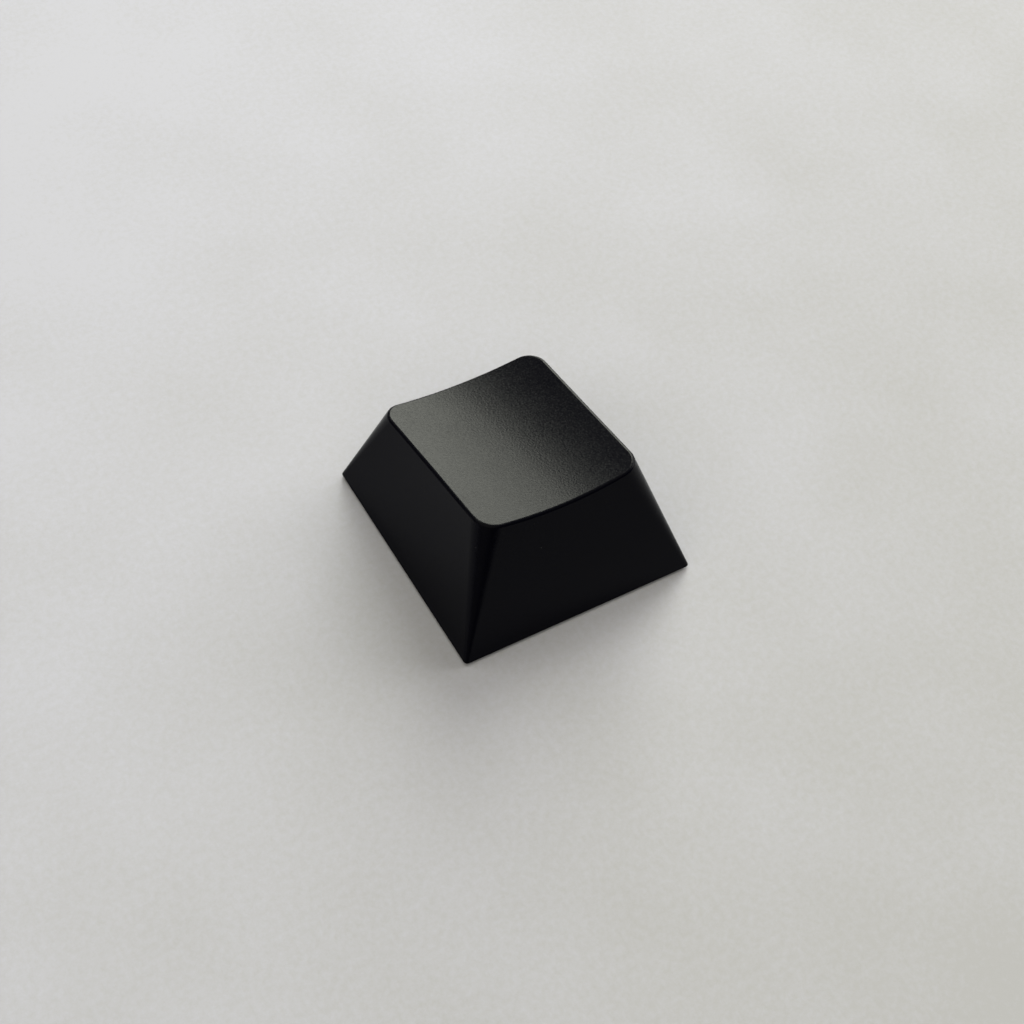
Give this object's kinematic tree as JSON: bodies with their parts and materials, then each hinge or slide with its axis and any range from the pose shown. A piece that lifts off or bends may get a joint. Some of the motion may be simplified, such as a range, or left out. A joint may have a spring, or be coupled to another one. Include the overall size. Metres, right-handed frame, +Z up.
{
  "type": "keycap",
  "caption": "Blank black keyboard keycap with sloping walls, a tilted scooped top and a hollow underside, whose cross-slotted stem post presses onto a key switch.",
  "frame": {"origin": "on the stem post's axis, in the plane of the bottom edge", "axes": "+Z up through the top, -Y towards the typist, +X to the typist's right"},
  "size_m": [0.0182, 0.0181, 0.0088],
  "materials": {
    "black_plastic": "satin walls and a finely grained matte top"
  },
  "bodies": {
    "root": {"keycap": "black_plastic"}
  },
  "joints": []
}
